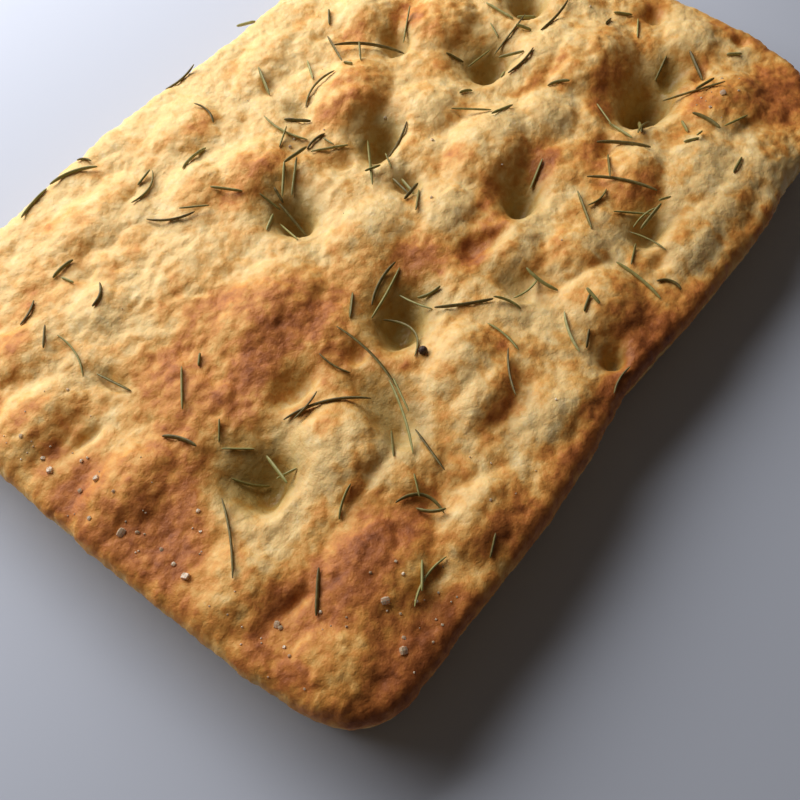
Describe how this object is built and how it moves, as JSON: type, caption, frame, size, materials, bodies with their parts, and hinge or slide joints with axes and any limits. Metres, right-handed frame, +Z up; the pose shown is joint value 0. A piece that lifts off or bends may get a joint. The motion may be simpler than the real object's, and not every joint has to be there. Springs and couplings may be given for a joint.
{
  "type": "rosemary focaccia loaf",
  "caption": "Flat, dimpled, tin-baked bread loaf with a puffed golden-brown crust, strewn with baked rosemary leaves, coarse salt and a peppercorn.",
  "frame": {"origin": "on the surface the loaf lies on, under the middle of its bounding box", "axes": "+X along the loaf's long side, +Y along its short side, +Z up out of the dimpled top"},
  "size_m": [0.3391, 0.2336, 0.0353],
  "materials": {
    "bread_crust": "satin",
    "rosemary_leaf": "satin",
    "coarse_salt": "gloss",
    "peppercorn": "matte"
  },
  "bodies": {
    "root": {"loaf": "bread_crust", "rosemary_leaf_01": "rosemary_leaf", "rosemary_leaf_02": "rosemary_leaf", "rosemary_leaf_03": "rosemary_leaf", "rosemary_leaf_04": "rosemary_leaf", "rosemary_leaf_05": "rosemary_leaf", "rosemary_leaf_06": "rosemary_leaf", "rosemary_leaf_07": "rosemary_leaf", "rosemary_leaf_08": "rosemary_leaf", "rosemary_leaf_09": "rosemary_leaf", "rosemary_leaf_10": "rosemary_leaf", "rosemary_leaf_11": "rosemary_leaf", "rosemary_leaf_12": "rosemary_leaf", "rosemary_leaf_13": "rosemary_leaf", "rosemary_leaf_14": "rosemary_leaf", "rosemary_leaf_15": "rosemary_leaf", "rosemary_leaf_16": "rosemary_leaf", "rosemary_leaf_17": "rosemary_leaf", "rosemary_leaf_18": "rosemary_leaf", "rosemary_leaf_19": "rosemary_leaf", "rosemary_leaf_20": "rosemary_leaf", "rosemary_leaf_21": "rosemary_leaf", "rosemary_leaf_22": "rosemary_leaf", "rosemary_leaf_23": "rosemary_leaf", "rosemary_leaf_24": "rosemary_leaf", "rosemary_leaf_25": "rosemary_leaf", "rosemary_leaf_26": "rosemary_leaf", "rosemary_leaf_27": "rosemary_leaf", "rosemary_leaf_28": "rosemary_leaf", "rosemary_leaf_29": "rosemary_leaf", "rosemary_leaf_30": "rosemary_leaf", "rosemary_leaf_31": "rosemary_leaf", "rosemary_leaf_32": "rosemary_leaf", "rosemary_leaf_33": "rosemary_leaf", "rosemary_leaf_34": "rosemary_leaf", "rosemary_leaf_35": "rosemary_leaf", "rosemary_leaf_36": "rosemary_leaf", "rosemary_leaf_37": "rosemary_leaf", "rosemary_leaf_38": "rosemary_leaf", "rosemary_leaf_39": "rosemary_leaf", "rosemary_leaf_40": "rosemary_leaf", "rosemary_leaf_41": "rosemary_leaf", "rosemary_leaf_42": "rosemary_leaf", "rosemary_leaf_43": "rosemary_leaf", "rosemary_leaf_44": "rosemary_leaf", "rosemary_leaf_45": "rosemary_leaf", "rosemary_leaf_46": "rosemary_leaf", "rosemary_leaf_47": "rosemary_leaf", "rosemary_leaf_48": "rosemary_leaf", "rosemary_leaf_49": "rosemary_leaf", "rosemary_leaf_50": "rosemary_leaf", "salt_crystal_01": "coarse_salt", "salt_crystal_02": "coarse_salt", "salt_crystal_03": "coarse_salt", "salt_crystal_04": "coarse_salt", "salt_crystal_05": "coarse_salt", "salt_crystal_06": "coarse_salt", "salt_crystal_07": "coarse_salt", "salt_crystal_08": "coarse_salt", "peppercorn": "peppercorn"}
  },
  "joints": []
}
